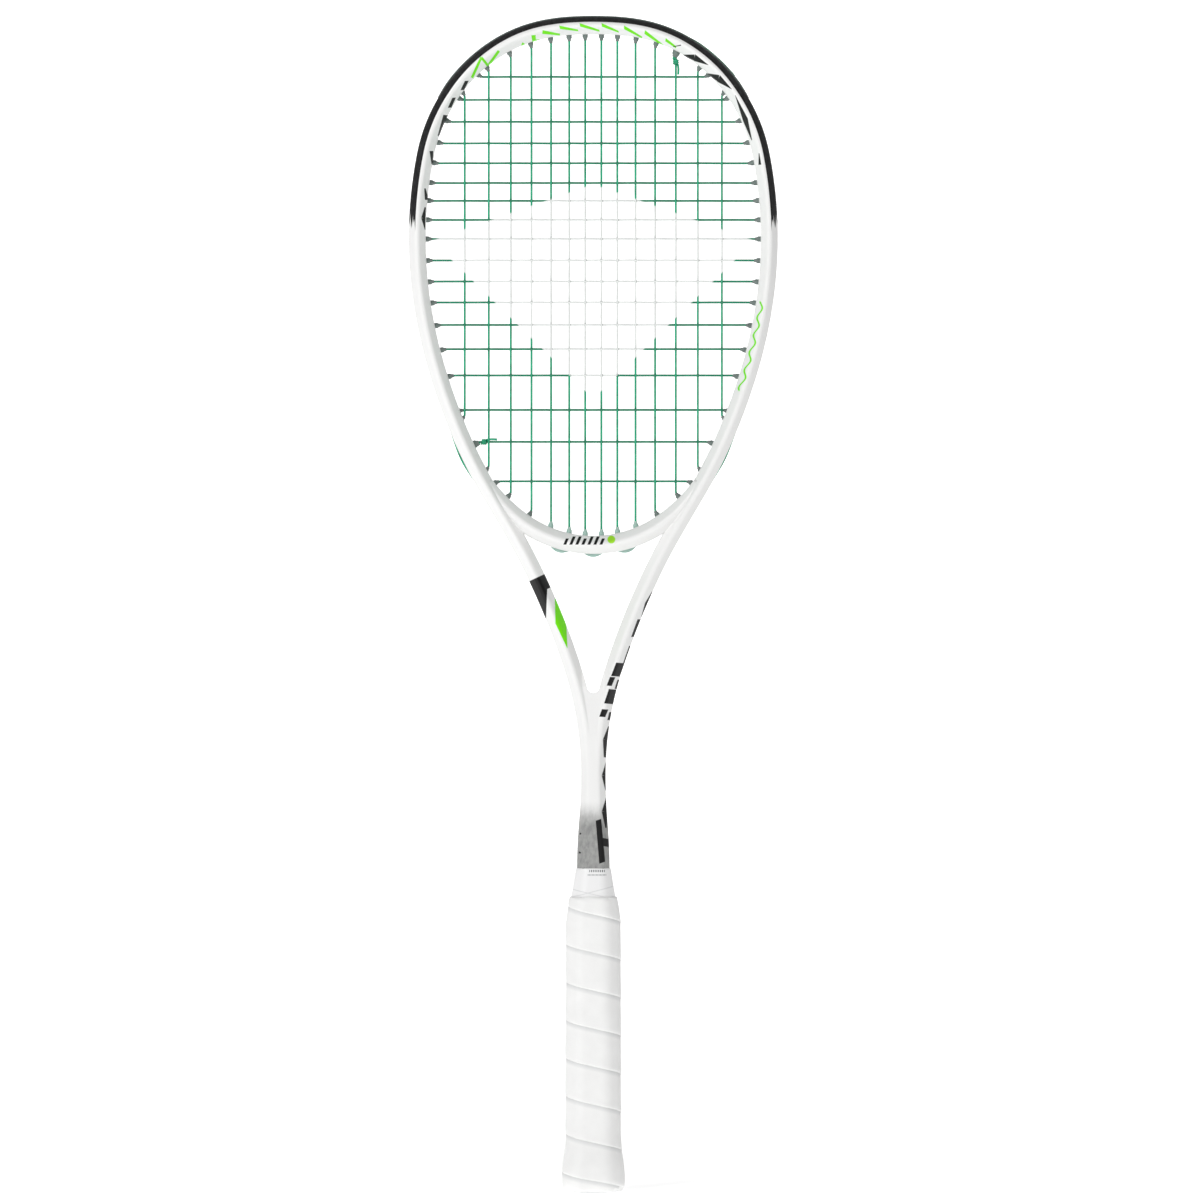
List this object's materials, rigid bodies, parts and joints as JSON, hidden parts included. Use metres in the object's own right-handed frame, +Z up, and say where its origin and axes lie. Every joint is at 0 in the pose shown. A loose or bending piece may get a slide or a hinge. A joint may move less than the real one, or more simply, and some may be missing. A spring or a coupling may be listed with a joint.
{
  "type": "squash racket",
  "caption": "Strung squash racket: moulded hollow hoop with open throat and bridge, grommet strips, woven string bed, foam handle with butt cap and wrapped cushion grip.",
  "frame": {"origin": "centre of the flat butt end that the racket can stand on", "axes": "+Z up the handle to the head, the strings lie in the XZ plane, the marked face looks towards -Y, +X to the viewer's right"},
  "size_m": [0.215, 0.0338, 0.685],
  "materials": {
    "frame_lacquer": "clear-coated white lacquer over carbon laminate, bare dark carbon along the head and at the bottom of the shaft",
    "core_foam": "rigid moulding foam",
    "smoke_nylon": "smoke-tinted moulded nylon, slightly translucent where thin",
    "pale_green_nylon": "pale translucent moulded nylon",
    "string_nylon": "coated multifilament nylon, teal green, white stencil block",
    "handle_foam": "moulded polyurethane foam",
    "plug_rubber": "soft bung",
    "cap_plastic": "moulded white plastic, blank end face",
    "staple_steel": "zinc-plated wire",
    "grip_leatherette": "white polyurethane cushion wrap with fine embossing",
    "white_tape": "smooth white vinyl tape"
  },
  "bodies": {
    "root": {"frame_hairpin": "frame_lacquer", "throat_bridge": "frame_lacquer", "throat_bridge_core": "core_foam", "head_bumper_strip": "smoke_nylon", "right_grommet_strip": "smoke_nylon", "left_grommet_strip": "smoke_nylon", "throat_grommet_strip": "pale_green_nylon", "string": "string_nylon", "head_knot": "string_nylon", "side_knot": "string_nylon", "handle_foam": "handle_foam", "shaft_plug": "plug_rubber", "butt_cap": "cap_plastic", "butt_cap_staples": "staple_steel", "grip_start_staple": "staple_steel", "grip_wrap": "grip_leatherette", "finishing_tape": "white_tape"}
  },
  "joints": []
}
